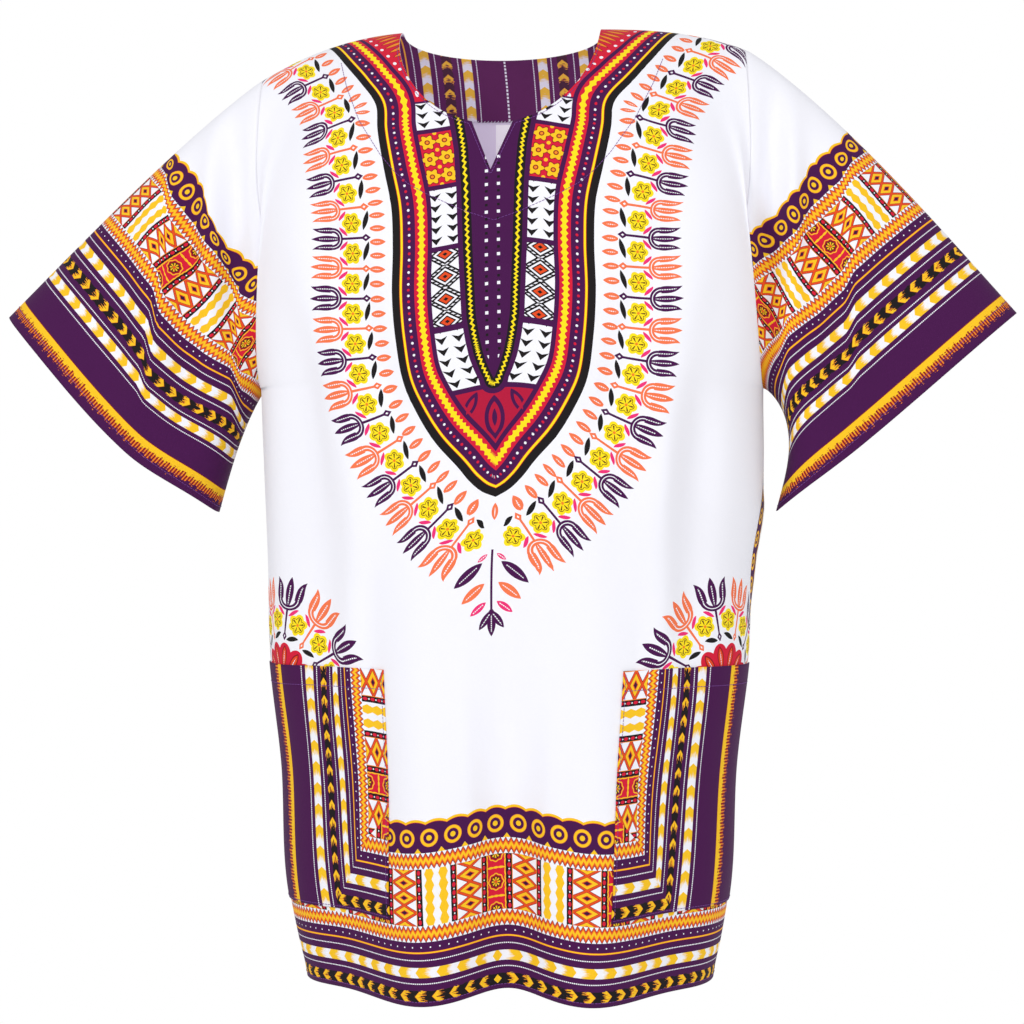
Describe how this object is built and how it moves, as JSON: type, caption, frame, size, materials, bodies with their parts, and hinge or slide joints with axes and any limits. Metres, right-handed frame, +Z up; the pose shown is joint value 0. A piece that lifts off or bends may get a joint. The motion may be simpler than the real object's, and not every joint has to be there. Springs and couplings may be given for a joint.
{
  "type": "dashiki shirt",
  "caption": "Loose pull-over dashiki shirt with a V-notched round neck, wide short sleeves and patch pockets, filled out as worn, open at neck, hem and cuffs.",
  "frame": {"origin": "middle of the neck opening at the height of the shoulders, where the wearer's shoulders hold the shirt up", "axes": "+X to the wearer's left along the sleeves, +Y to the back of the shirt, +Z up; the front faces -Y"},
  "size_m": [0.8385, 0.2935, 0.78],
  "materials": {
    "white_cotton": "plain-weave cotton, white ground with a bright printed neck panel, ring of sprigs and borders",
    "border_cotton": "plain-weave cotton, purple border print with yellow, white and black stripes",
    "label_satin": "smooth white woven tape, blank"
  },
  "bodies": {
    "root": {"front_panel": "white_cotton", "back_panel": "white_cotton", "sleeve_left": "white_cotton", "sleeve_right": "white_cotton", "pocket_left": "border_cotton", "pocket_right": "border_cotton", "back_neck_facing": "border_cotton", "care_label": "label_satin"}
  },
  "joints": []
}
